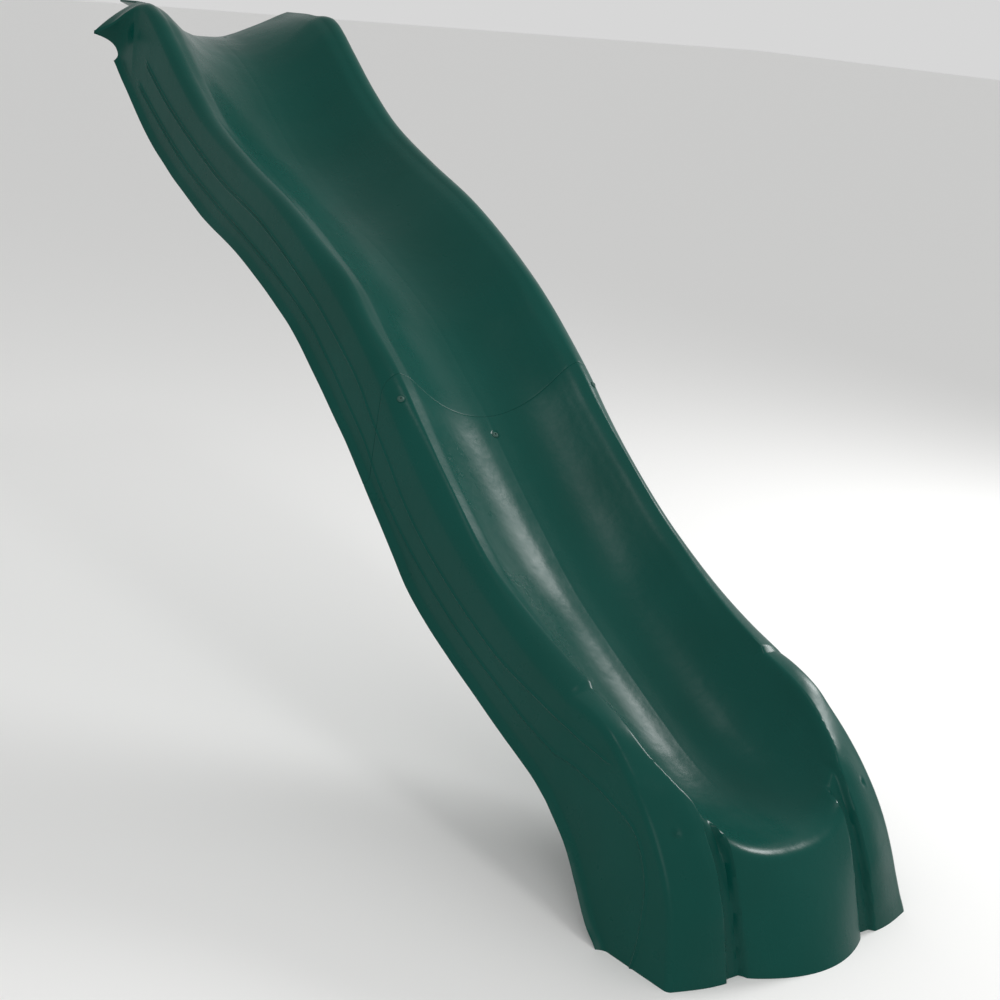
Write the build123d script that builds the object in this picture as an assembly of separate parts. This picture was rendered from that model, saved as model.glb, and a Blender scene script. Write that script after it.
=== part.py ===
from build123d import *
import math
import os
import numpy as np

# Wave slide for a 48 in deck: two moulded HDPE chute halves lapped and bolted at mid length.
os.makedirs("parts", exist_ok=True)

# ---- driving dimensions, mm: X across, -Y down the slide to the exit, +Z up, ground z=0
SHEET_T = 4.5            # moulded sheet thickness
DECK_Z = 1219.0          # deck surface, underside of the entry lip
PIVOT_Y = 330.0          # foot sections turn about this line on the ground
EAR_Y = 2005.0           # rear plane of the skirts and ears, against the deck front
LIP_Y = 2100.0           # end of the entry lip on the deck
LAP_Y0, LAP_Y1 = 852.0, 921.5   # lap joint: end of the upper chute's tongue, start of the joggle down into it
LOWER_TOP_Y = 918.5      # upper end of the lower chute, flush over the tongue
LAP_GAP = 0.9
A_FADE = 26.0            # foot angle where the upper ridge pair starts to sink into the corner
ORIGIN_Y = 1019.5        # the frame's origin: middle of the overall length, on the ground

def curve(pts):
    """monotone cubic through (t, value) rows"""
    p = np.array(sorted(pts), float)
    x, y = p[:, 0], p[:, 1]
    h = np.diff(x); d = np.diff(y) / h
    m = np.zeros_like(y)
    m[0], m[-1] = d[0], d[-1]
    for i in range(1, len(x) - 1):
        if d[i - 1] * d[i] > 0:
            w1, w2 = 2 * h[i] + h[i - 1], h[i] + 2 * h[i - 1]
            m[i] = (w1 + w2) / (w1 / d[i - 1] + w2 / d[i])
    def f(t):
        t = np.asarray(t, float)
        tc = np.clip(t, x[0], x[-1])
        i = np.clip(np.searchsorted(x, tc, side="right") - 1, 0, len(x) - 2)
        s = (tc - x[i]) / h[i]
        v = ((1 + 2 * s) * (1 - s) ** 2 * y[i] + s * (1 - s) ** 2 * h[i] * m[i]
             + s * s * (3 - 2 * s) * y[i + 1] + s * s * (s - 1) * h[i] * m[i + 1])
        return v + np.where(t < x[0], (t - x[0]) * m[0], 0) + np.where(t > x[-1], (t - x[-1]) * m[-1], 0)
    return f

# rim inner edge height along the slide
RIM_Z = curve([(-120, 178), (0, 224), (97, 260), (165, 291), (249, 326), (340, 358), (436, 393), (523, 432), (606, 477), (744, 578),
               (845, 659), (919, 723), (1026, 800), (1102, 858), (1208, 912), (1334, 968), (1489, 1023), (1633, 1084),
               (1739, 1152), (1832, 1224), (1895, 1268), (1950, 1289), (2005, 1292), (2060, 1291), (2100, 1290)])
# bed centre line height
BED_Z = curve([(-120, 160), (0, 165.5), (97, 168), (165, 174), (205, 182), (295, 213), (340, 235), (436, 285), (523, 332), (606, 380),
               (744, 483), (845, 566), (919, 630), (1026, 708), (1102, 764), (1208, 819), (1334, 874), (1489, 929),
               (1633, 990), (1739, 1057), (1832, 1127), (1895, 1168), (1950, 1195), (2005, 1213), (2050, 1221.5), (2075, 1223.5), (2100, 1223.5)])
RIM_X = curve([(0, 158), (97, 162), (123, 171), (165, 182), (205, 189), (340, 190), (436, 194), (523, 200), (606, 206),
               (744, 205), (845, 202), (1000, 200), (1850, 200), (1950, 203), (2005, 208), (2060, 211), (2100, 208)])
# crease: outboard edge of the rim; sweeps out into the ear at the top
CREASE_X = curve([(-120, 262), (97, 252), (200, 245), (330, 238), (500, 237), (700, 236), (1850, 236), (1900, 237), (1927, 239), (1945, 244),
                  (1965, 257), (1985, 281), (2005, 309)])
CREASE_Z = curve([(-120, 150), (97, 236), (165, 268), (249, 306), (300, 328), (340, 342), (400, 361), (478, 391), (564, 432), (645, 477), (718, 525), (785, 577),
                  (847, 632), (905, 688), (972, 745), (1044, 801), (1131, 857), (1226, 912), (1341, 967), (1491, 1021),
                  (1640, 1083), (1746, 1151), (1837, 1223), (1882, 1259), (1910, 1277), (1930, 1283), (1945, 1281),
                  (1965, 1268), (1985, 1242), (2005, 1224)])
SKIRT_Z = curve([(330, 176), (360, 194), (405, 213), (450, 230), (495, 248), (540, 267), (585, 286), (630, 307), (675, 329), (720, 354),
                 (765, 384), (810, 425), (855, 466), (900, 506), (945, 547), (990, 587), (1035, 622), (1080, 658), (1125, 692),
                 (1170, 726), (1215, 755), (1260, 778), (1305, 800), (1350, 820), (1395, 839), (1440, 856), (1485, 870),
                 (1530, 883), (1575, 898), (1620, 917), (1665, 937), (1710, 957), (1755, 981), (1800, 1005), (1845, 1034),
                 (1890, 1068), (1935, 1105), (1980, 1141), (2005, 1165)])
GROOVE_A = curve([(285, 288), (392, 313), (501, 341), (592, 379), (675, 423), (751, 470), (818, 523), (874, 580), (934, 638), (992, 697),
                  (1068, 754), (1153, 811), (1255, 867), (1376, 923), (1536, 977), (1671, 1039), (1792, 1106), (1894, 1177), (2005, 1262)])
GROOVE_B = curve([(319, 242), (415, 269), (508, 303), (600, 341), (684, 384), (761, 431), (832, 483), (895, 538), (950, 598), (1018, 655),
                  (1089, 713), (1168, 771), (1275, 826), (1408, 880), (1561, 936), (1699, 996), (1815, 1063), (1926, 1138), (2005, 1198)])

S_MID = curve([(0, 0), (.12, .018), (.25, .075), (.375, .165), (.5, .29), (.6, .42), (.7, .575), (.8, .745), (.9, .905), (1, 1)])
S_EXIT = curve([(0, 0), (.15, .006), (.3, .035), (.5, .13), (.65, .26), (.75, .385), (.85, .57), (.92, .74), (1, 1)])
S_TOP = curve([(0, 0), (.1, .004), (.2, .035), (.33, .15), (.5, .35), (.66, .55), (.8, .74), (.9, .88), (1, 1)])

def smooth(t):
    t = np.clip(t, 0, 1)
    return t * t * (3 - 2 * t)

def cap_z(x, y):
    """top surface height: bed, side walls and rim top"""
    ax = np.abs(x)
    xi, zr, zb = RIM_X(y), RIM_Z(y), BED_Z(y)
    xc, zc = CREASE_X(y), CREASE_Z(y)
    t = np.clip(ax / xi, 0, 1)
    we = 1 - smooth((y - 120) / 480.0)
    wt = smooth((y - 1930) / 150.0)
    s = S_MID(t) * (1 - we) * (1 - wt) + S_EXIT(t) * we + S_TOP(t) * wt
    inner = zb + (zr - zb) * s
    w = np.clip((ax - xi) / np.maximum(xc - xi, 1), 0, 1.3)
    bulge = 6.5 * (1 - 0.4 * we)
    outer = zr + (zc - zr) * w + bulge * 4 * w * (1 - w) * (w < 1)
    return np.where(ax <= xi, inner, outer)

# foot: front wall position as a function of height
CORNER_Y = curve([(0, 6), (46, 20), (73, 29), (101, 38), (127, 50), (154, 63), (178, 79), (202, 98), (226, 117), (247, 139), (265, 160), (288, 190), (314, 226), (345, 300), (420, 640)])
APRON_Y = curve([(0, -16), (60, 2), (111, 18), (140, 28), (168, 42), (203, 64), (240, 96), (300, 170), (420, 500)])
APRON_B = curve([(0, 45), (60, 33), (111, 21), (150, 12), (200, 8), (420, 6)])
PIL_B = curve([(0, 22), (60, 24), (167, 25), (257, 28), (300, 18), (420, 6)])

def front_y(x, z):
    ax = np.abs(x)
    cx = 262.0
    u = np.clip((cx - ax) / (cx - 156.0), 0, 1.2)
    pil = CORNER_Y(z) - PIL_B(z) * np.sin(np.clip(u, 0, 1) * math.pi / 2)
    apr = APRON_Y(z) - APRON_B(z) * (1 - (ax / 132.0) ** 2)
    rec = np.maximum(APRON_Y(z), CORNER_Y(z) - PIL_B(z)) + 9.0 + 0.03 * np.clip(z, 0, 300)
    a = 1 - smooth((ax - 124.0) / 9.0)       # apron
    p = smooth((ax - 150.0 - 0.04 * np.clip(150 - z, 0, 150)) / 9.0)   # pilaster
    side = 1 - smooth((ax - 256.0) / 14.0) * 0
    return a * apr + p * pil + (1 - a - p) * rec

def smin(a, b, k):
    h = np.clip(0.5 + 0.5 * (b - a) / k, 0, 1)
    return b * (1 - h) + a * h - k * h * (1 - h)

def bisect(f, lo, hi, n=44):
    lo = np.array(lo, float); hi = np.array(hi, float)
    for _ in range(n):
        m = 0.5 * (lo + hi)
        up = f(m) > 0
        hi = np.where(up, m, hi); lo = np.where(up, lo, m)
    return 0.5 * (lo + hi)

def foot_r(x, th):
    """distance from the foot pivot line to the outer skin, th from vertical (radians)"""
    x = np.asarray(x, float); th = th + 0 * x
    s, c = np.sin(th), np.cos(th)
    big = np.full_like(x, 900.0)
    rb = bisect(lambda r: r * c - cap_z(x, PIVOT_Y - r * s), np.full_like(x, 40.0), big)
    rf = bisect(lambda r: front_y(x, r * c) - (PIVOT_Y - r * s), np.full_like(x, 40.0), big)
    rb = np.where(th > math.radians(85), 900.0, rb)
    r = smin(rb, rf, 24.0)
    return r


FOOT_X = np.concatenate([np.arange(0, 116, 4.0), np.arange(116, 168, 1.0), np.arange(168, 301, 4.0)])
_table = {}

def foot_table(v):
    """foot radius on a grid of x at angle v degrees, kept for reuse"""
    key = round(v, 3)
    if key not in _table:
        _table[key] = foot_r(FOOT_X, math.radians(v))
    return _table[key]

FOOT_SKIRT_R = curve([(0, 176), (10, 157), (20, 146), (30, 139), (40, 134), (50, 132), (60, 134), (70, 139), (80, 150), (90, 176)])
FOOT_CREASE_X = curve([(0, 238), (10, 234), (17, 233), (32, 235), (49, 239), (65, 243.5), (76, 249), (84, 256), (90, 263)])
FOOT_CREASE_R = curve([(0, 338.7), (8, 334.5), (16.7, 328), (24, 318), (31.7, 312), (40, 308), (48.7, 306), (65.5, 307), (76.3, 309), (84, 314), (90, 323)])
FOOT_A_R = curve([(0, 299), (9, 291), (20, 295), (27, 311), (34, 330), (40, 350), (90, 460)])
FOOT_B_R = curve([(0, 246), (15, 248), (30, 258), (46, 277), (59, 271), (72, 255), (90, 243)])

class Section:
    """one cross-section: plane through origin o with in-plane up vector e"""
    def __init__(self, kind, v, off=0.0):
        self.kind, self.v, self.off, self.dc, self.ridge_k = kind, v, off, 0.0, 1.0
        if kind == "y":
            self.o = np.array([0, v, 0.0]); self.e = np.array([0, 0, 1.0])
            self.xc, self.hs = float(CREASE_X(v)), float(SKIRT_Z(v))
            self.hc = float(CREASE_Z(v)); self.ga, self.gb = float(GROOVE_A(v)), float(GROOVE_B(v))
            self.flare = max(0.0, self.xc - 244.0) if v > 1900 else 0.0
            self.xs = 250.0 if v > 600 else 250.0 + 6 * float(smooth((600 - v) / 270.0))
        else:
            th = math.radians(v)
            self.o = np.array([0, PIVOT_Y, 0.0]); self.e = np.array([0, -math.sin(th), math.cos(th)])
            self.xc, self.hs = float(FOOT_CREASE_X(v)), float(FOOT_SKIRT_R(v))
            self.hc = float(FOOT_CREASE_R(v))
            self.dc = self.hc - float(np.interp(self.xc, FOOT_X, foot_table(v)))
            self.ga, self.gb = float(FOOT_A_R(v)), float(FOOT_B_R(v)); self.flare = 0.0
            self.xs = 256.0 + 14.0 * float(smooth(v / 90.0))
    def cap(self, x):
        if self.kind == "y":
            return cap_z(np.asarray(x, float), self.v)
        x = np.asarray(x, float)
        return np.interp(np.abs(x), FOOT_X, foot_table(self.v)) + self.dc * smooth((np.abs(x) - 170.0) / (self.xc - 170.0))
    def cap_slopes(self, x):
        d = 1.0
        hx = (self.cap(x + d) - self.cap(x - d)) / (2 * d)
        if self.kind == "y":
            hs = (cap_z(x, self.v + d) - cap_z(x, self.v - d)) / (2 * d)
        else:
            a, b = max(self.v - 0.5, 0), min(self.v + 0.5, 90)
            dr = np.interp(np.abs(x), FOOT_X, foot_table(b) - foot_table(a))
            hs = dr / math.radians(b - a) / np.maximum(self.cap(x), 1)
        return hx, hs
    def skirt(self, h, detail=True):
        """skirt half-width at in-plane height h"""
        h = np.asarray(h, float)
        w = (self.hc - h) / (self.hc - self.hs)
        x0 = self.xc - self.flare
        x = x0 + (self.xs - x0) * np.clip(w, 0, 1) ** 0.9
        x = x + self.flare * np.exp(-np.maximum(self.hc - h - 5.0, 0) / 15.0)
        lip = np.clip(1 - (h - self.hs) / 16.0, 0, 1)
        x = x + 11.0 * lip ** 2
        if detail:
            x = x + self.ridges(h)
        return x
    def ridges(self, h):
        v = self.v
        if self.kind == "y":
            g = 4.3 * float(smooth((v - 900) / 700.0))
            fa = float(smooth((1890 - v) / 12.0)); fb = float(smooth((1914 - v) / 12.0))
        else:
            g = 0.0
            fa = float(1 - smooth((v - A_FADE) / 6.0)); fb = 1.0
        out = 0
        for c, f in ((self.ga, fa), (self.gb, fb)):
            d = h - c
            out = out + 2.4 * f * np.maximum(np.exp(-((d - g) / 2.3) ** 2), np.exp(-((d + g) / 2.3) ** 2))
        return out * self.ridge_k
    def cap_off(self, x, d):
        """cap curve moved d mm along the skin normal"""
        x = np.asarray(x, float)
        hx, hs = self.cap_slopes(x)
        return self.cap(x) + d * np.minimum(np.sqrt(1 + hx * hx + hs * hs), 2.6)
    def skirt_off(self, h, d, detail=True):
        h = np.asarray(h, float)
        g = (self.skirt(h + 0.5, False) - self.skirt(h - 0.5, False))
        return self.skirt(h, detail) + d * np.minimum(np.sqrt(1 + g * g), 2.0)
    def corner(self, d):
        """where the offset cap meets the offset skirt"""
        lo, hi = self.xc - 75.0, self.xc + 12.0
        for _ in range(40):
            m = 0.5 * (lo + hi)
            if float(self.skirt_off(self.cap_off(np.array([m]), d), d, False)[0]) > m:
                lo = m
            else:
                hi = m
        return 0.5 * (lo + hi), float(self.cap_off(np.array([0.5 * (lo + hi)]), d)[0])
    def point(self, x, h):
        x = np.atleast_1d(x); h = np.atleast_1d(h)
        return np.stack([x, self.o[1] - ORIGIN_Y + h * self.e[1], self.o[2] + h * self.e[2]], 1)

A_FADE = 14.0
# ---- section wires -------------------------------------------------------
CAP_T = np.concatenate([np.linspace(0, .45, 9)[:-1], np.linspace(.45, .70, 19)[:-1], np.linspace(.70, .88, 6)[:-1], np.linspace(.88, 1, 6)])
CAP_U = np.concatenate([-CAP_T[::-1][:-1], CAP_T])
CAP_PAR = [float(v) for v in (CAP_U + 1) / 2]

SKIRT_PAR = None

def skirt_nodes(sec, top, d, detail):
    """in-plane heights down the skirt, crowded round the two ridge lines"""
    if SKIRT_PAR and (sec.kind == "t" or not detail):
        return top - (top - sec.hs) * np.array(SKIRT_PAR)
    off = [-11, -7.5, -5.5, -4.3, -3, -1.2, 0, 1.2, 3, 4.3, 5.5, 7.5, 11]
    ga, gb = sec.ga, sec.gb
    ga = min(ga, top - (14.0 if sec.kind == "y" else 27.0))
    gb = min(gb, ga - 26.0)
    gb = max(gb, sec.hs + 30.0)
    ga = max(ga, gb + 26.0)
    hs = [top] + list(np.linspace(top, ga + 11, 5)[1:-1]) + [ga - o for o in off]
    hs += list(np.linspace(ga - 11, gb + 11, 4)[1:-1]) + [gb - o for o in off]
    hs += list(np.linspace(gb - 11, sec.hs + 16, 4)[1:]) + [sec.hs + 10, sec.hs + 5.5, sec.hs + 2, sec.hs]
    hs = np.array(hs)
    if sec.kind == "y" and sec.v > 1900 and SKIRT_PAR:
        w = float(smooth((sec.v - 1900) / 55.0))
        hs = (1 - w) * hs + w * (top - (top - sec.hs) * np.array(SKIRT_PAR))
    return hs

def section_edges(sec, d_out, d_in, with_skirt=True, xe=None):
    rows = []
    for d, det in ((d_out, True), (d_in, False)):
        if with_skirt:
            xk, hk = sec.corner(d)
        else:
            xk = xe
        x = xk * CAP_U
        cap = sec.point(x, sec.cap_off(x, d))
        if with_skirt:
            h = skirt_nodes(sec, hk, d, det)
            sx = sec.skirt_off(h, d, det)
            sx[0] = xk
            right = sec.point(sx, h)
            left = sec.point(-sx, h)[::-1]
        else:
            right = left = None
        rows.append((left, cap, right))
    return rows

_ref = Section("y", 1300.0)
_rh = skirt_nodes(_ref, _ref.hc, 0, True)
SKIRT_PAR = [float(v) for v in (_rh[0] - _rh) / (_rh[0] - _rh[-1])]

def spline(p, par):
    return Edge.make_spline([Vector(*map(float, q)) for q in p], parameters=par)

def rev(par):
    return [1 - v for v in par[::-1]]

def section_wire(rows):
    (lo, co, ro), (li, ci, ri) = rows
    if lo is None:
        e = [spline(co, CAP_PAR), Edge.make_line(Vector(*co[-1]), Vector(*ci[-1])), spline(ci[::-1], CAP_PAR), Edge.make_line(Vector(*ci[0]), Vector(*co[0]))]
    else:
        co[0], co[-1] = lo[-1], ro[0]
        ci[0], ci[-1] = li[-1], ri[0]
        e = [spline(lo, rev(SKIRT_PAR)), spline(co, CAP_PAR), spline(ro, SKIRT_PAR), Edge.make_line(Vector(*ro[-1]), Vector(*ri[-1])),
             spline(ri[::-1], rev(SKIRT_PAR)), spline(ci[::-1], CAP_PAR), spline(li[::-1], SKIRT_PAR), Edge.make_line(Vector(*li[0]), Vector(*lo[0]))]
    return Wire(e)

def middle(shape):
    """mean corner point, steady where an area centroid is not"""
    vs = shape.vertices()
    return Vector(sum(v.X for v in vs) / len(vs), sum(v.Y for v in vs) / len(vs), sum(v.Z for v in vs) / len(vs))

def loft(stations, ruled=False):
    """thin-walled loft; stations are (kind, v, outward offset, ridge height factor), evenly spaced"""
    wires = []
    for kind, v, off, k in stations:
        sec = Section(kind, v)
        sec.ridge_k = k
        wires.append(section_wire(section_edges(sec, off, off - SHEET_T)))
    s = Solid.make_loft(wires, ruled=ruled)
    s.start_c, s.end_c = middle(wires[0]), middle(wires[-1])
    return s

def even(kind, a, b, n, off=0.0, k=1.0):
    return [(kind, a + (b - a) * i / n, off, k) for i in range(n + 1)]

LAP_OFF = -SHEET_T - LAP_GAP
FLARE_Y = 1855.0
JOGGLE_Y = 919.5
# the tongue under the lap has no ridges, so the skirts nest
RIDGE_Y = 927.5
upper_runs = [loft(even("y", EAR_Y, FLARE_Y, 20)), loft(even("y", FLARE_Y, RIDGE_Y, 31)),
              loft([("y", RIDGE_Y, 0.0, 1.0), ("y", LAP_Y1, 0.0, 0.0)], True),
              loft([("y", LAP_Y1, 0.0, 0.0), ("y", JOGGLE_Y, LAP_OFF, 0.0)], True), loft(even("y", JOGGLE_Y, LAP_Y0, 4, LAP_OFF, 0.0))]
lower_runs = [loft(even("y", LOWER_TOP_Y, PIVOT_Y, 30)), loft([("y", PIVOT_Y, 0.0, 1.0), ("t", 1.0, 0.0, 0.0)], True),
              loft(even("t", 1.0, 90.0, 34, 0.0, 0.0))]

def join(runs):
    """sew runs end to end, leaving out the walls between them"""
    skin = []
    for i, r in enumerate(runs):
        fs = r.faces()
        ends = [f for f in fs if len(f.edges()) == 8]
        assert len(ends) == 2, len(ends)
        a, b = r.start_c, r.end_c
        for f in fs:
            if f not in ends:
                skin.append(f)
                continue
            c = middle(f)
            d0, d1 = (c - a).length, (c - b).length
            if (d0 < d1 and i == 0) or (d1 < d0 and i == len(runs) - 1):
                skin.append(f)
    return Solid(Shell(skin))

upper = join(upper_runs)
lower = join(lower_runs)

# entry lip: bed and walls run on over the deck behind the ears
lip_sections = []
for y in (1996, 2005, 2018, 2032, 2046, 2060, 2074, 2088, LIP_Y):
    sec = Section("y", float(y))
    lip_sections.append(section_wire(section_edges(sec, -0.15, -SHEET_T + 0.15, False, float(RIM_X(y)))))
lip = Solid.make_loft(lip_sections, ruled=False)
upper = upper.fuse(lip)

# ---- fasteners -----------------------------------------------------------
BED_BOLT = (0.0, 889.0)
RIM_BOLT = (219.0, 884.0)
BOLT_R, HOLE_R = 3.0, 3.5

def frame_at(x, y):
    """plane on the nominal skin with its normal as z"""
    sec = Section("y", y)
    ax = np.array([abs(x)])
    hx, hs = sec.cap_slopes(ax)
    n = Vector(-float(hx[0]) * (1 if x >= 0 else -1), -float(hs[0]), 1).normalized()
    o = Vector(x, y - ORIGIN_Y, float(sec.cap(ax)[0]))
    return Plane(origin=o, x_dir=Vector(1, 0, 0) - n * n.X, z_dir=n)

def cyl(pl, r, z0, z1):
    return Solid.make_cylinder(r, z1 - z0, Plane(origin=pl.origin + pl.z_dir * z0, x_dir=pl.x_dir, z_dir=pl.z_dir))

def cone(pl, r0, r1, z0, z1):
    return Solid.make_cone(r0, r1, z1 - z0, Plane(origin=pl.origin + pl.z_dir * z0, x_dir=pl.x_dir, z_dir=pl.z_dir))

def hexa(pl, across, z0, z1):
    p = Plane(origin=pl.origin + pl.z_dir * z0, x_dir=pl.x_dir, z_dir=pl.z_dir)
    return (p * extrude(RegularPolygon(across / math.sqrt(3), 6), z1 - z0)).solid()

def bolt(pl, seat, head_r, head_h):
    b = cyl(pl, BOLT_R, -20.0, seat + 0.5)
    b = b.fuse(cyl(pl, head_r, seat, seat + head_h * 0.45))
    b = b.fuse(cone(pl, head_r, head_r * 0.6, seat + head_h * 0.45, seat + head_h))
    return b.cut(hexa(pl, 4.0, seat + head_h - 1.7, seat + head_h + 1)).solid()

def washer(pl, seat, r):
    return cyl(pl, r, seat - 1.6, seat).cut(cyl(pl, BOLT_R + 0.35, seat - 3, seat + 2)).solid()

def nut(pl, seat):
    n = hexa(pl, 10.0, seat - 5.2, seat).fuse(cyl(pl, 4.6, seat - 7.0, seat - 5.1))
    return n.cut(cyl(pl, BOLT_R + 0.3, seat - 10, seat + 2)).solid()

sets = {"bed": [BED_BOLT], "rim": [RIM_BOLT, (-RIM_BOLT[0], RIM_BOLT[1])]}
head_seat = {"bed": -2.2, "rim": -0.7}
for name, spots in sets.items():
    bolts, washers, nuts = [], [], []
    for x, y in spots:
        pl = frame_at(x, y)
        top = head_seat[name]
        under = LAP_OFF - SHEET_T + (0.0 if name == "bed" else 0.1)
        lower = lower.cut(cyl(pl, HOLE_R, -8, 6), cyl(pl, 8.0, top, 9))
        upper = upper.cut(cyl(pl, HOLE_R, -19, -1), cyl(pl, 8.0, -21, under))
        bolts.append(bolt(pl, top + 0.02, 6.3, 3.3))
        washers.append(washer(pl, under - 0.02, 7.0))
        nuts.append(nut(pl, under - 1.65))
    for kind, solids in (("bolts", bolts), ("washers", washers), ("nuts", nuts)):
        node = name + "_lap_" + (kind if len(solids) > 1 else kind[:-1] if kind != "washers" else "washer")
        shape = Compound(children=solids) if len(solids) > 1 else solids[0]
        shape.label = node
        export_step(shape, "parts/%s.step" % node)

# deck fixing holes through the lip
LIP_HOLE_X, LIP_HOLE_Y, LIP_HOLE_R = 38.0, 2074.0, 3.6
for x in (-LIP_HOLE_X, LIP_HOLE_X):
    upper = upper.cut(Solid.make_cylinder(LIP_HOLE_R, 60, Plane(origin=(x, LIP_HOLE_Y - ORIGIN_Y, 1195))))

for node, shape in (("upper_chute", upper), ("lower_chute", lower)):
    solids = shape.solids()
    shape = max(solids, key=lambda s: s.volume) if len(solids) > 1 else solids[0]
    shape.label = node
    export_step(shape, "parts/%s.step" % node)
    print(node, shape.is_valid, round(shape.volume / 1000, 1), "cm3", shape.bounding_box())
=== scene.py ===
import bpy, bmesh, math
import numpy as np
from mathutils import Matrix, Vector


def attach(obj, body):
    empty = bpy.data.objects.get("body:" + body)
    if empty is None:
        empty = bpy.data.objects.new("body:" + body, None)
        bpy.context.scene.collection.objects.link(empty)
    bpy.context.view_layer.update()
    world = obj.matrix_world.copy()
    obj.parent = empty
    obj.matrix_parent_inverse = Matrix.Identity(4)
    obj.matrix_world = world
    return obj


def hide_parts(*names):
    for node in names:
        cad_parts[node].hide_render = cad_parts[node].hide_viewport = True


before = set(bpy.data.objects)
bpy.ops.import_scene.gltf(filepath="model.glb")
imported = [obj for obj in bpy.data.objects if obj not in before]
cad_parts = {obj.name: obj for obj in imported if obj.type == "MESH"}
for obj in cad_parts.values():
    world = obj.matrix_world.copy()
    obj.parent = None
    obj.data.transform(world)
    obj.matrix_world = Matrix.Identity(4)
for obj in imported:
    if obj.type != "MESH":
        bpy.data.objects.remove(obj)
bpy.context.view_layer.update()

# ---- look ----
COL_A = (0.0014, 0.052, 0.040)
COL_B = (0.0019, 0.062, 0.049)
COL_SCUFF = (0.012, 0.095, 0.078)
ROUGH = (0.25, 0.33)
WORLD = 0.68
LIGHTS = [
    ("key", (2.7, -0.45, 2.05), (0.0, -0.3, 0.5), 0.85, 55.0),
    ("fill", (-2.6, -3.6, 2.8), (0.0, -0.3, 0.5), 2.0, 30.0),
    ("top", (-0.3, -1.3, 3.6), (0.0, -0.4, 0.5), 0.6, 10.0),
]


# ---- driving dimensions, mm: X across, -Y down the slide to the exit, +Z up, ground z=0
SHEET_T = 4.5            # moulded sheet thickness
DECK_Z = 1219.0          # deck surface, underside of the entry lip
PIVOT_Y = 330.0          # foot sections turn about this line on the ground
EAR_Y = 2005.0           # rear plane of the skirts and ears, against the deck front
LIP_Y = 2100.0           # end of the entry lip on the deck
LAP_Y0, LAP_Y1 = 852.0, 921.5   # lap joint: end of the upper chute's tongue, start of the joggle down into it
LOWER_TOP_Y = 918.5      # upper end of the lower chute, flush over the tongue
LAP_GAP = 0.9
A_FADE = 26.0            # foot angle where the upper ridge pair starts to sink into the corner
ORIGIN_Y = 1019.5        # the frame's origin: middle of the overall length, on the ground

def curve(pts):
    """monotone cubic through (t, value) rows"""
    p = np.array(sorted(pts), float)
    x, y = p[:, 0], p[:, 1]
    h = np.diff(x); d = np.diff(y) / h
    m = np.zeros_like(y)
    m[0], m[-1] = d[0], d[-1]
    for i in range(1, len(x) - 1):
        if d[i - 1] * d[i] > 0:
            w1, w2 = 2 * h[i] + h[i - 1], h[i] + 2 * h[i - 1]
            m[i] = (w1 + w2) / (w1 / d[i - 1] + w2 / d[i])
    def f(t):
        t = np.asarray(t, float)
        tc = np.clip(t, x[0], x[-1])
        i = np.clip(np.searchsorted(x, tc, side="right") - 1, 0, len(x) - 2)
        s = (tc - x[i]) / h[i]
        v = ((1 + 2 * s) * (1 - s) ** 2 * y[i] + s * (1 - s) ** 2 * h[i] * m[i]
             + s * s * (3 - 2 * s) * y[i + 1] + s * s * (s - 1) * h[i] * m[i + 1])
        return v + np.where(t < x[0], (t - x[0]) * m[0], 0) + np.where(t > x[-1], (t - x[-1]) * m[-1], 0)
    return f

# rim inner edge height along the slide
RIM_Z = curve([(-120, 178), (0, 224), (97, 260), (165, 291), (249, 326), (340, 358), (436, 393), (523, 432), (606, 477), (744, 578),
               (845, 659), (919, 723), (1026, 800), (1102, 858), (1208, 912), (1334, 968), (1489, 1023), (1633, 1084),
               (1739, 1152), (1832, 1224), (1895, 1268), (1950, 1289), (2005, 1292), (2060, 1291), (2100, 1290)])
# bed centre line height
BED_Z = curve([(-120, 160), (0, 165.5), (97, 168), (165, 174), (205, 182), (295, 213), (340, 235), (436, 285), (523, 332), (606, 380),
               (744, 483), (845, 566), (919, 630), (1026, 708), (1102, 764), (1208, 819), (1334, 874), (1489, 929),
               (1633, 990), (1739, 1057), (1832, 1127), (1895, 1168), (1950, 1195), (2005, 1213), (2050, 1221.5), (2075, 1223.5), (2100, 1223.5)])
RIM_X = curve([(0, 158), (97, 162), (123, 171), (165, 182), (205, 189), (340, 190), (436, 194), (523, 200), (606, 206),
               (744, 205), (845, 202), (1000, 200), (1850, 200), (1950, 203), (2005, 208), (2060, 211), (2100, 208)])
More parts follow.
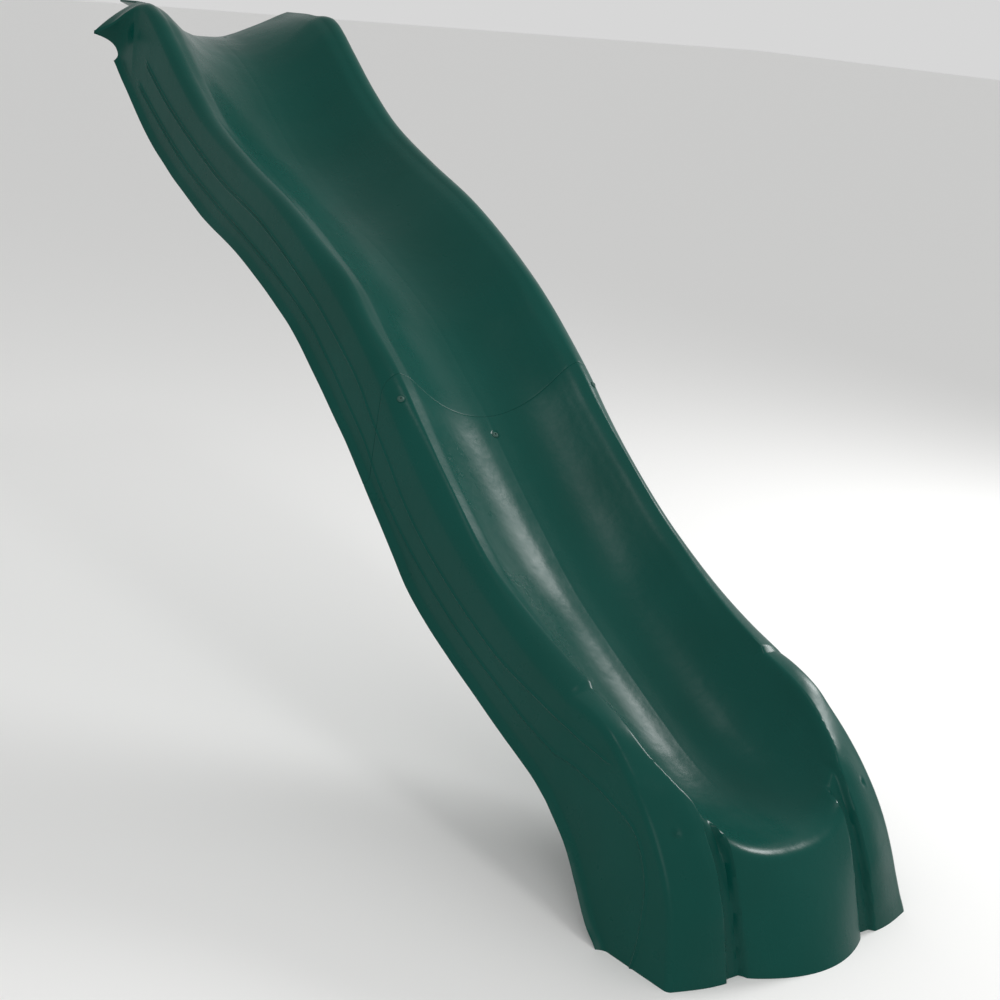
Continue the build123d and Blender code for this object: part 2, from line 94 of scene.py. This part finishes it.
# crease: outboard edge of the rim; sweeps out into the ear at the top
CREASE_X = curve([(-120, 262), (97, 252), (200, 245), (330, 238), (500, 237), (700, 236), (1850, 236), (1900, 237), (1927, 239), (1945, 244),
                  (1965, 257), (1985, 281), (2005, 309)])
CREASE_Z = curve([(-120, 150), (97, 236), (165, 268), (249, 306), (300, 328), (340, 342), (400, 361), (478, 391), (564, 432), (645, 477), (718, 525), (785, 577),
                  (847, 632), (905, 688), (972, 745), (1044, 801), (1131, 857), (1226, 912), (1341, 967), (1491, 1021),
                  (1640, 1083), (1746, 1151), (1837, 1223), (1882, 1259), (1910, 1277), (1930, 1283), (1945, 1281),
                  (1965, 1268), (1985, 1242), (2005, 1224)])
SKIRT_Z = curve([(330, 176), (360, 194), (405, 213), (450, 230), (495, 248), (540, 267), (585, 286), (630, 307), (675, 329), (720, 354),
                 (765, 384), (810, 425), (855, 466), (900, 506), (945, 547), (990, 587), (1035, 622), (1080, 658), (1125, 692),
                 (1170, 726), (1215, 755), (1260, 778), (1305, 800), (1350, 820), (1395, 839), (1440, 856), (1485, 870),
                 (1530, 883), (1575, 898), (1620, 917), (1665, 937), (1710, 957), (1755, 981), (1800, 1005), (1845, 1034),
                 (1890, 1068), (1935, 1105), (1980, 1141), (2005, 1165)])
GROOVE_A = curve([(285, 288), (392, 313), (501, 341), (592, 379), (675, 423), (751, 470), (818, 523), (874, 580), (934, 638), (992, 697),
                  (1068, 754), (1153, 811), (1255, 867), (1376, 923), (1536, 977), (1671, 1039), (1792, 1106), (1894, 1177), (2005, 1262)])
GROOVE_B = curve([(319, 242), (415, 269), (508, 303), (600, 341), (684, 384), (761, 431), (832, 483), (895, 538), (950, 598), (1018, 655),
                  (1089, 713), (1168, 771), (1275, 826), (1408, 880), (1561, 936), (1699, 996), (1815, 1063), (1926, 1138), (2005, 1198)])

S_MID = curve([(0, 0), (.12, .018), (.25, .075), (.375, .165), (.5, .29), (.6, .42), (.7, .575), (.8, .745), (.9, .905), (1, 1)])
S_EXIT = curve([(0, 0), (.15, .006), (.3, .035), (.5, .13), (.65, .26), (.75, .385), (.85, .57), (.92, .74), (1, 1)])
S_TOP = curve([(0, 0), (.1, .004), (.2, .035), (.33, .15), (.5, .35), (.66, .55), (.8, .74), (.9, .88), (1, 1)])

def smooth(t):
    t = np.clip(t, 0, 1)
    return t * t * (3 - 2 * t)

def cap_z(x, y):
    """top surface height: bed, side walls and rim top"""
    ax = np.abs(x)
    xi, zr, zb = RIM_X(y), RIM_Z(y), BED_Z(y)
    xc, zc = CREASE_X(y), CREASE_Z(y)
    t = np.clip(ax / xi, 0, 1)
    we = 1 - smooth((y - 120) / 480.0)
    wt = smooth((y - 1930) / 150.0)
    s = S_MID(t) * (1 - we) * (1 - wt) + S_EXIT(t) * we + S_TOP(t) * wt
    inner = zb + (zr - zb) * s
    w = np.clip((ax - xi) / np.maximum(xc - xi, 1), 0, 1.3)
    bulge = 6.5 * (1 - 0.4 * we)
    outer = zr + (zc - zr) * w + bulge * 4 * w * (1 - w) * (w < 1)
    return np.where(ax <= xi, inner, outer)

# foot: front wall position as a function of height
CORNER_Y = curve([(0, 6), (46, 20), (73, 29), (101, 38), (127, 50), (154, 63), (178, 79), (202, 98), (226, 117), (247, 139), (265, 160), (288, 190), (314, 226), (345, 300), (420, 640)])
APRON_Y = curve([(0, -16), (60, 2), (111, 18), (140, 28), (168, 42), (203, 64), (240, 96), (300, 170), (420, 500)])
APRON_B = curve([(0, 45), (60, 33), (111, 21), (150, 12), (200, 8), (420, 6)])
PIL_B = curve([(0, 22), (60, 24), (167, 25), (257, 28), (300, 18), (420, 6)])

def front_y(x, z):
    ax = np.abs(x)
    cx = 262.0
    u = np.clip((cx - ax) / (cx - 156.0), 0, 1.2)
    pil = CORNER_Y(z) - PIL_B(z) * np.sin(np.clip(u, 0, 1) * math.pi / 2)
    apr = APRON_Y(z) - APRON_B(z) * (1 - (ax / 132.0) ** 2)
    rec = np.maximum(APRON_Y(z), CORNER_Y(z) - PIL_B(z)) + 9.0 + 0.03 * np.clip(z, 0, 300)
    a = 1 - smooth((ax - 124.0) / 9.0)       # apron
    p = smooth((ax - 150.0 - 0.04 * np.clip(150 - z, 0, 150)) / 9.0)   # pilaster
    side = 1 - smooth((ax - 256.0) / 14.0) * 0
    return a * apr + p * pil + (1 - a - p) * rec

def smin(a, b, k):
    h = np.clip(0.5 + 0.5 * (b - a) / k, 0, 1)
    return b * (1 - h) + a * h - k * h * (1 - h)

def bisect(f, lo, hi, n=44):
    lo = np.array(lo, float); hi = np.array(hi, float)
    for _ in range(n):
        m = 0.5 * (lo + hi)
        up = f(m) > 0
        hi = np.where(up, m, hi); lo = np.where(up, lo, m)
    return 0.5 * (lo + hi)

def foot_r(x, th):
    """distance from the foot pivot line to the outer skin, th from vertical (radians)"""
    x = np.asarray(x, float); th = th + 0 * x
    s, c = np.sin(th), np.cos(th)
    big = np.full_like(x, 900.0)
    rb = bisect(lambda r: r * c - cap_z(x, PIVOT_Y - r * s), np.full_like(x, 40.0), big)
    rf = bisect(lambda r: front_y(x, r * c) - (PIVOT_Y - r * s), np.full_like(x, 40.0), big)
    rb = np.where(th > math.radians(85), 900.0, rb)
    r = smin(rb, rf, 24.0)
    return r


FOOT_X = np.concatenate([np.arange(0, 116, 4.0), np.arange(116, 168, 1.0), np.arange(168, 301, 4.0)])
_table = {}

def foot_table(v):
    """foot radius on a grid of x at angle v degrees, kept for reuse"""
    key = round(v, 3)
    if key not in _table:
        _table[key] = foot_r(FOOT_X, math.radians(v))
    return _table[key]

FOOT_SKIRT_R = curve([(0, 176), (10, 157), (20, 146), (30, 139), (40, 134), (50, 132), (60, 134), (70, 139), (80, 150), (90, 176)])
FOOT_CREASE_X = curve([(0, 238), (10, 234), (17, 233), (32, 235), (49, 239), (65, 243.5), (76, 249), (84, 256), (90, 263)])
FOOT_CREASE_R = curve([(0, 338.7), (8, 334.5), (16.7, 328), (24, 318), (31.7, 312), (40, 308), (48.7, 306), (65.5, 307), (76.3, 309), (84, 314), (90, 323)])
FOOT_A_R = curve([(0, 299), (9, 291), (20, 295), (27, 311), (34, 330), (40, 350), (90, 460)])
FOOT_B_R = curve([(0, 246), (15, 248), (30, 258), (46, 277), (59, 271), (72, 255), (90, 243)])

class Section:
    """one cross-section: plane through origin o with in-plane up vector e"""
    def __init__(self, kind, v, off=0.0):
        self.kind, self.v, self.off, self.dc, self.ridge_k = kind, v, off, 0.0, 1.0
        if kind == "y":
            self.o = np.array([0, v, 0.0]); self.e = np.array([0, 0, 1.0])
            self.xc, self.hs = float(CREASE_X(v)), float(SKIRT_Z(v))
            self.hc = float(CREASE_Z(v)); self.ga, self.gb = float(GROOVE_A(v)), float(GROOVE_B(v))
            self.flare = max(0.0, self.xc - 244.0) if v > 1900 else 0.0
            self.xs = 250.0 if v > 600 else 250.0 + 6 * float(smooth((600 - v) / 270.0))
        else:
            th = math.radians(v)
            self.o = np.array([0, PIVOT_Y, 0.0]); self.e = np.array([0, -math.sin(th), math.cos(th)])
            self.xc, self.hs = float(FOOT_CREASE_X(v)), float(FOOT_SKIRT_R(v))
            self.hc = float(FOOT_CREASE_R(v))
            self.dc = self.hc - float(np.interp(self.xc, FOOT_X, foot_table(v)))
            self.ga, self.gb = float(FOOT_A_R(v)), float(FOOT_B_R(v)); self.flare = 0.0
            self.xs = 256.0 + 14.0 * float(smooth(v / 90.0))
    def cap(self, x):
        if self.kind == "y":
            return cap_z(np.asarray(x, float), self.v)
        x = np.asarray(x, float)
        return np.interp(np.abs(x), FOOT_X, foot_table(self.v)) + self.dc * smooth((np.abs(x) - 170.0) / (self.xc - 170.0))
    def cap_slopes(self, x):
        d = 1.0
        hx = (self.cap(x + d) - self.cap(x - d)) / (2 * d)
        if self.kind == "y":
            hs = (cap_z(x, self.v + d) - cap_z(x, self.v - d)) / (2 * d)
        else:
            a, b = max(self.v - 0.5, 0), min(self.v + 0.5, 90)
            dr = np.interp(np.abs(x), FOOT_X, foot_table(b) - foot_table(a))
            hs = dr / math.radians(b - a) / np.maximum(self.cap(x), 1)
        return hx, hs
    def skirt(self, h, detail=True):
        """skirt half-width at in-plane height h"""
        h = np.asarray(h, float)
        w = (self.hc - h) / (self.hc - self.hs)
        x0 = self.xc - self.flare
        x = x0 + (self.xs - x0) * np.clip(w, 0, 1) ** 0.9
        x = x + self.flare * np.exp(-np.maximum(self.hc - h - 5.0, 0) / 15.0)
        lip = np.clip(1 - (h - self.hs) / 16.0, 0, 1)
        x = x + 11.0 * lip ** 2
        if detail:
            x = x + self.ridges(h)
        return x
    def ridges(self, h):
        v = self.v
        if self.kind == "y":
            g = 4.3 * float(smooth((v - 900) / 700.0))
            fa = float(smooth((1890 - v) / 12.0)); fb = float(smooth((1914 - v) / 12.0))
        else:
            g = 0.0
            fa = float(1 - smooth((v - A_FADE) / 6.0)); fb = 1.0
        out = 0
        for c, f in ((self.ga, fa), (self.gb, fb)):
            d = h - c
            out = out + 2.4 * f * np.maximum(np.exp(-((d - g) / 2.3) ** 2), np.exp(-((d + g) / 2.3) ** 2))
        return out * self.ridge_k
    def cap_off(self, x, d):
        """cap curve moved d mm along the skin normal"""
        x = np.asarray(x, float)
        hx, hs = self.cap_slopes(x)
        return self.cap(x) + d * np.minimum(np.sqrt(1 + hx * hx + hs * hs), 2.6)
    def skirt_off(self, h, d, detail=True):
        h = np.asarray(h, float)
        g = (self.skirt(h + 0.5, False) - self.skirt(h - 0.5, False))
        return self.skirt(h, detail) + d * np.minimum(np.sqrt(1 + g * g), 2.0)
    def corner(self, d):
        """where the offset cap meets the offset skirt"""
        lo, hi = self.xc - 75.0, self.xc + 12.0
        for _ in range(40):
            m = 0.5 * (lo + hi)
            if float(self.skirt_off(self.cap_off(np.array([m]), d), d, False)[0]) > m:
                lo = m
            else:
                hi = m
        return 0.5 * (lo + hi), float(self.cap_off(np.array([0.5 * (lo + hi)]), d)[0])
    def point(self, x, h):
        x = np.atleast_1d(x); h = np.atleast_1d(h)
        return np.stack([x, self.o[1] - ORIGIN_Y + h * self.e[1], self.o[2] + h * self.e[2]], 1)

# ---- visual meshes -----------------------------------------------------------
A_FADE = 19.0
SEAM_UP, SEAM_LOW = 919.9, 919.3      # the two edges that meet at the flush joint
TONGUE = -SHEET_T - LAP_GAP

def frac_nodes():
    """positions across the cap, 0 at the middle and 1 at the crease fillet"""
    a = [np.linspace(0, .05, 9), np.linspace(.05, .45, 15)[1:], np.linspace(.45, .62, 13)[1:], np.linspace(.62, .82, 21)[1:],
         np.linspace(.82, .88, 6)[1:], np.linspace(.88, 1.0, 17)[1:]]
    return np.concatenate(a)

CAP_N = frac_nodes()
FIL = np.linspace(0, 1, 9)

def lin(a, b, n):
    return list(np.linspace(a, b, n + 1)[1:])

def skirt_h(sec, h0):
    """in-plane heights from the crease fillet down to the hem"""
    ga, gb, hs = sec.ga, sec.gb, sec.hs
    ga = min(ga, h0 - 12.0); gb = min(gb, ga - 22.0)
    gb = max(gb, hs + 30.0); ga = max(ga, gb + 22.0)
    h = lin(h0, ga + 9, 5) + lin(ga + 9, ga - 9, 24) + lin(ga - 9, gb + 9, 5) + lin(gb + 9, gb - 9, 24)
    return np.array(h + lin(gb - 9, hs + 16, 5) + lin(hs + 16, hs, 9))

def half_profile(sec, d, detail):
    xk, hk = sec.corner(d)
    r = 9.0 if d > -2 else 6.0
    if sec.kind == "y" and sec.v > 1925:
        r = r - (r - 3.0) * float(smooth((sec.v - 1925) / 50.0))
    x = (xk - r) * CAP_N
    cap = np.stack([x, sec.cap_off(x, d)], 1)
    h0 = hk - r
    p2 = np.array([float(sec.skirt_off(np.array([h0]), d, detail)[0]), h0])
    p0, p1 = cap[-1], np.array([xk, hk])
    t = FIL[1:, None]
    fil = (1 - t) ** 2 * p0 + 2 * t * (1 - t) * p1 + t * t * p2
    h = skirt_h(sec, h0)
    sk = np.stack([sec.skirt_off(h, d, detail), h], 1)
    return np.concatenate([cap, fil, sk])

def row(kind, v, off, side, k=1.0, thick=SHEET_T):
    sec = Section(kind, v)
    sec.ridge_k = k
    p = half_profile(sec, off if side else off - thick, bool(side))
    right = sec.point(p[:, 0], p[:, 1])
    left = right[1:][::-1].copy()
    left[:, 0] *= -1
    return np.concatenate([left, right])

DENTS = [  # x, y, z, radius, depth: moulded dimples at the pilaster tops
    (204.2, -930.3, 209.2, 9.0, 3.0), (-204.2, -930.3, 209.2, 9.0, 3.0),
]

def seat(p, skin):
    """bolt seats pressed into the top skin"""
    out = p.copy()
    for (cx, cy), depth in (((0.0, 889.0), 2.25), ((219.0, 884.0), .75), ((-219.0, 884.0), .75)):
        sec = Section("y", cy)
        cz = float(sec.cap(np.array([abs(cx)]))[0])
        r = np.sqrt((p[..., 0] - cx) ** 2 + (p[..., 1] + ORIGIN_Y - cy) ** 2 + (p[..., 2] - cz) ** 2)
        out[..., 2] -= depth * (1 - smooth((r - 6.7) / 1.8))
    return out

def sheet_mesh(name, outer, inner):
    """closed thin sheet from two grids of rows; outer and inner share the same layout"""
    n, m = outer.shape[:2]
    verts = np.concatenate([outer.reshape(-1, 3), inner.reshape(-1, 3)]) / 1000.0
    i, j = np.meshgrid(np.arange(n - 1), np.arange(m - 1), indexing="ij")
    a = (i * m + j).ravel()
    q = np.stack([a, a + 1, a + m + 1, a + m], 1)
    o = n * m
    faces = [q, (q + o)[:, ::-1]]
    k = np.arange(n - 1) * m
    faces.append(np.stack([k, k + m, k + m + o, k + o], 1))
    k = k + m - 1
    faces.append(np.stack([k + m, k, k + o, k + m + o], 1))
    k = np.arange(m - 1)
    faces.append(np.stack([k + 1, k, k + o, k + 1 + o], 1))
    k = k + (n - 1) * m
    faces.append(np.stack([k, k + 1, k + 1 + o, k + o], 1))
    me = bpy.data.meshes.new(name)
    me.from_pydata(verts.tolist(), [], np.concatenate(faces).tolist())
    me.update()
    bm = bmesh.new(); bm.from_mesh(me)
    bmesh.ops.recalc_face_normals(bm, faces=bm.faces)
    bm.to_mesh(me); bm.free()
    me.shade_smooth()
    me.set_sharp_from_angle(angle=math.radians(38))
    ob = bpy.data.objects.new(name, me)
    bpy.context.scene.collection.objects.link(ob)
    return ob

def stack(stations):
    outer = np.array([row(k, v, off, 1, rk) for k, v, off, rk in stations])
    inner = np.array([row(k, v, off, 0, rk) for k, v, off, rk in stations])
    return outer, inner

def run(a, b, step, kind="y", off=0.0, rk=1.0):
    n = max(1, int(round(abs(b - a) / step)))
    return [(kind, a + (b - a) * i / n, off, rk) for i in range(n + 1)]

STEP = 6.0
# upper chute: from the deck down to the joint, then the tongue under it
st = run(EAR_Y, 1925, 2.5) + run(1922, 940, STEP) + run(936, SEAM_UP + 1.0, 3)
st += [("y", SEAM_UP + 0.4, -0.05, 1.0), ("y", SEAM_UP + 0.1, -0.2, 1.0), ("y", SEAM_UP, -0.5, 0.7), ("y", SEAM_UP - 0.5, -3.5, 0.2), ("y", SEAM_UP - 1.0, TONGUE, 0.0)]
st += run(916, LAP_Y0, 8, off=TONGUE, rk=0.0)
uo, ui = stack(st)
upper = sheet_mesh("upper_chute_shell", uo, ui)

# lower chute: from the joint down to the foot, then round it to the ground
st = [("y", SEAM_LOW, -0.5, 1.0), ("y", SEAM_LOW - 0.1, -0.2, 1.0), ("y", SEAM_LOW - 0.4, -0.05, 1.0)] + run(SEAM_LOW - 1.2, 902, 4)
st += run(900, 872, 1.3) + run(870, PIVOT_Y + STEP, STEP) + run(0.0, 90.0, 0.9, kind="t")
lo_, li_ = stack(st)
lo_ = seat(lo_, 1)
DENT_N = 0
for cx, cy, cz, rad, dep in DENTS:
    r = np.sqrt((lo_[..., 0] - cx) ** 2 + (lo_[..., 1] - cy) ** 2 + (lo_[..., 2] - cz) ** 2)
    w = dep * (1 - smooth((r - rad * 0.25) / (rad * 0.75)))
    lo_[..., 1] += w * 0.6; lo_[..., 2] -= w * 0.8
lower = sheet_mesh("lower_chute_shell", lo_, li_)

# entry lip over the deck
xs = np.concatenate([-CAP_N[::-1], CAP_N[1:]])
ys = list(np.linspace(EAR_Y + 0.0, LIP_Y - 4, 22)) + [LIP_Y - 2, LIP_Y - 0.8, LIP_Y - 0.2, LIP_Y]
def lip_row(y, d):
    sec = Section("y", float(y))
    x = xs * (float(RIM_X(y)) - 0.4)
    return sec.point(x, sec.cap_off(x, d))
drop = [0.0] * 22 + [0.15, 0.5, 1.0, 1.6]
lpo = np.array([lip_row(y, -0.02 - d) for y, d in zip(ys, drop)])
lpi = np.array([lip_row(y, -4.2 + 0.4 * d) for y, d in zip(ys, drop)])
lip = sheet_mesh("entry_lip", lpo, lpi)
for sx in (-38.0, 38.0):
    bpy.ops.mesh.primitive_cylinder_add(vertices=48, radius=0.0036, depth=0.04, location=(sx / 1000, (2074.0 - ORIGIN_Y) / 1000, 1.2215))
    cut = bpy.context.object
    m = lip.modifiers.new("hole", "BOOLEAN"); m.operation = "DIFFERENCE"; m.solver = "EXACT"; m.object = cut
    bpy.context.view_layer.update()
    dg = bpy.context.evaluated_depsgraph_get()
    me = bpy.data.meshes.new_from_object(lip.evaluated_get(dg))
    lip.modifiers.clear(); lip.data = me
    bpy.data.objects.remove(cut)
lip.data.shade_smooth(); lip.data.set_sharp_from_angle(angle=math.radians(38))

# ---- materials -----------------------------------------------------------------
def mat(name):
    m = bpy.data.materials.new(name); m.use_nodes = True
    nt = m.node_tree
    return m, nt, nt.nodes["Principled BSDF"]

def node(nt, kind, **kw):
    n = nt.nodes.new(kind)
    for k, v in kw.items():
        n.inputs[k].default_value = v
    return n

def chute_material():
    m, nt, b = mat("green_hdpe")
    L = nt.links.new
    co = nt.nodes.new("ShaderNodeTexCoord")
    # slow colour drift of the moulded sheet
    n1 = node(nt, "ShaderNodeTexNoise", Scale=3.2, Detail=3.0, Roughness=0.55)
    L(co.outputs["Object"], n1.inputs["Vector"])
    r1 = nt.nodes.new("ShaderNodeValToRGB")
    r1.color_ramp.elements[0].position, r1.color_ramp.elements[1].position = 0.3, 0.72
    r1.color_ramp.elements[0].color = (*COL_A, 1); r1.color_ramp.elements[1].color = (*COL_B, 1)
    L(n1.outputs["Fac"], r1.inputs["Fac"])
    # fine scuffs that run down the slide
    mp = nt.nodes.new("ShaderNodeMapping"); mp.inputs["Scale"].default_value = (420.0, 9.0, 9.0)
    L(co.outputs["Object"], mp.inputs["Vector"])
    n2 = node(nt, "ShaderNodeTexNoise", Scale=1.0, Detail=5.0, Roughness=0.62)
    L(mp.outputs["Vector"], n2.inputs["Vector"])
    r2 = nt.nodes.new("ShaderNodeValToRGB")
    r2.color_ramp.elements[0].position, r2.color_ramp.elements[1].position = 0.60, 0.80
    L(n2.outputs["Fac"], r2.inputs["Fac"])
    n3 = node(nt, "ShaderNodeTexNoise", Scale=11.0, Detail=4.0, Roughness=0.6)
    L(co.outputs["Object"], n3.inputs["Vector"])
    mul = nt.nodes.new("ShaderNodeMath"); mul.operation = "MULTIPLY"
    L(r2.outputs["Color"], mul.inputs[0]); L(n3.outputs["Fac"], mul.inputs[1])
    mix = nt.nodes.new("ShaderNodeMixRGB"); mix.blend_type = "MIX"
    mix.inputs[2].default_value = (*COL_SCUFF, 1)
    k = nt.nodes.new("ShaderNodeMath"); k.operation = "MULTIPLY"; k.inputs[1].default_value = 0.16
    L(mul.outputs[0], k.inputs[0]); L(k.outputs[0], mix.inputs[0]); L(r1.outputs["Color"], mix.inputs[1])
    L(mix.outputs[0], b.inputs["Base Color"])
    # roughness: satin gloss, rougher where scuffed
    rr = nt.nodes.new("ShaderNodeMapRange")
    rr.inputs["To Min"].default_value, rr.inputs["To Max"].default_value = ROUGH[0], ROUGH[1]
    rr.inputs["From Min"].default_value, rr.inputs["From Max"].default_value = 0.3, 0.75
    L(n3.outputs["Fac"], rr.inputs["Value"])
    add = nt.nodes.new("ShaderNodeMath"); add.operation = "MULTIPLY_ADD"; add.inputs[1].default_value = 0.14
    L(mul.outputs[0], add.inputs[0]); L(rr.outputs["Result"], add.inputs[2]); L(add.outputs[0], b.inputs["Roughness"])
    # bump: long orange-peel of the mould and a fine grain
    n4 = node(nt, "ShaderNodeTexNoise", Scale=38.0, Detail=2.0, Roughness=0.5)
    n5 = node(nt, "ShaderNodeTexNoise", Scale=900.0, Detail=2.0, Roughness=0.6)
    L(co.outputs["Object"], n4.inputs["Vector"]); L(co.outputs["Object"], n5.inputs["Vector"])
    b1 = nt.nodes.new("ShaderNodeBump"); b1.inputs["Strength"].default_value = 0.12; b1.inputs["Distance"].default_value = 0.004
    b2 = nt.nodes.new("ShaderNodeBump"); b2.inputs["Strength"].default_value = 0.10; b2.inputs["Distance"].default_value = 0.0003
    b3 = nt.nodes.new("ShaderNodeBump"); b3.inputs["Strength"].default_value = 0.12; b3.inputs["Distance"].default_value = 0.0004
    L(n4.outputs["Fac"], b1.inputs["Height"]); L(n5.outputs["Fac"], b2.inputs["Height"]); L(mul.outputs[0], b3.inputs["Height"])
    L(b1.outputs["Normal"], b2.inputs["Normal"]); L(b2.outputs["Normal"], b3.inputs["Normal"]); L(b3.outputs["Normal"], b.inputs["Normal"])
    b.inputs["Specular IOR Level"].default_value = 0.12
    b.inputs["IOR"].default_value = 1.51
    return m

def metal(name, col, rough, metallic, grain):
    m, nt, b = mat(name)
    L = nt.links.new
    co = nt.nodes.new("ShaderNodeTexCoord")
    n = node(nt, "ShaderNodeTexNoise", Scale=grain, Detail=5.0, Roughness=0.6)
    L(co.outputs["Object"], n.inputs["Vector"])
    r = nt.nodes.new("ShaderNodeValToRGB")
    r.color_ramp.elements[0].position, r.color_ramp.elements[1].position = 0.3, 0.7
    r.color_ramp.elements[0].color = (*[c * 0.72 for c in col], 1); r.color_ramp.elements[1].color = (*col, 1)
    L(n.outputs["Fac"], r.inputs["Fac"]); L(r.outputs["Color"], b.inputs["Base Color"])
    rr = nt.nodes.new("ShaderNodeMapRange"); rr.inputs["To Min"].default_value = rough - 0.08; rr.inputs["To Max"].default_value = rough + 0.14
    L(n.outputs["Fac"], rr.inputs["Value"]); L(rr.outputs["Result"], b.inputs["Roughness"])
    bu = nt.nodes.new("ShaderNodeBump"); bu.inputs["Strength"].default_value = 0.2; bu.inputs["Distance"].default_value = 0.0002
    L(n.outputs["Fac"], bu.inputs["Height"]); L(bu.outputs["Normal"], b.inputs["Normal"])
    b.inputs["Metallic"].default_value = metallic
    return m

green = chute_material()
for ob in (upper, lower, lip):
    ob.data.materials.clear(); ob.data.materials.append(green)
    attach(ob, "root")
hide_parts("upper_chute"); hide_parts("lower_chute")
dark = metal("coated_bolt", (0.012, 0.075, 0.058), 0.38, 0.0, 700.0)
zinc = metal("zinc_plate", (0.62, 0.62, 0.58), 0.34, 1.0, 500.0)
for n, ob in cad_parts.items():
    if n.endswith("bolt") or n.endswith("bolts"):
        use = dark
    elif "washer" in n or "nut" in n:
        use = zinc
    else:
        use = green
    ob.data.materials.clear(); ob.data.materials.append(use)
    if "lap" in n:
        ob.data.shade_smooth(); ob.data.set_sharp_from_angle(angle=math.radians(32))

# ---- floor, light and camera ------------------------------------------------------
me = bpy.data.meshes.new("floor")
s = 40.0
me.from_pydata([(-s, -s, 0), (s, -s, 0), (s, s, 0), (-s, s, 0)], [], [(0, 1, 2, 3)])
floor = bpy.data.objects.new("floor", me)
bpy.context.scene.collection.objects.link(floor)
fm, fnt, fb = mat("pale_floor")
fb.inputs["Base Color"].default_value = (0.86, 0.86, 0.85, 1); fb.inputs["Roughness"].default_value = 0.7
me.materials.append(fm)

def area(name, loc, target, size, power, col=(1, 1, 1), size_y=None):
    l = bpy.data.lights.new(name, "AREA"); l.energy = power; l.size = size; l.color = col
    if size_y:
        l.shape = "RECTANGLE"; l.size_y = size_y
    o = bpy.data.objects.new(name, l); bpy.context.scene.collection.objects.link(o)
    o.location = loc
    o.rotation_euler = (Vector(target) - Vector(loc)).to_track_quat("-Z", "Y").to_euler()
    return o

for a in LIGHTS:
    area(*a)
w = bpy.data.worlds.new("studio"); bpy.context.scene.world = w; w.use_nodes = True
w.node_tree.nodes["Background"].inputs["Color"].default_value = (1, 1, 1, 1)
w.node_tree.nodes["Background"].inputs["Strength"].default_value = WORLD

yaw, pitch, roll = math.radians(37.904), math.radians(16.225), math.radians(5.422)
fwd = Vector((math.sin(yaw) * math.cos(pitch), math.cos(yaw) * math.cos(pitch), -math.sin(pitch)))
rt = Vector((math.cos(yaw), -math.sin(yaw), 0)); up = rt.cross(fwd)
r2 = rt * math.cos(roll) + up * math.sin(roll); u2 = up * math.cos(roll) - rt * math.sin(roll)
cd = bpy.data.cameras.new("camera"); cam = bpy.data.objects.new("camera", cd)
bpy.context.scene.collection.objects.link(cam)
cd.sensor_width = 36.0; cd.sensor_fit = "HORIZONTAL"; cd.lens = 63.965
cam.matrix_world = Matrix(((r2.x, u2.x, -fwd.x, -1.9351), (r2.y, u2.y, -fwd.y, -1.6292 - ORIGIN_Y / 1000), (r2.z, u2.z, -fwd.z, 1.4042), (0, 0, 0, 1)))
cd.clip_end = 200
bpy.context.scene.camera = cam
bpy.context.scene.view_settings.view_transform = "Standard"
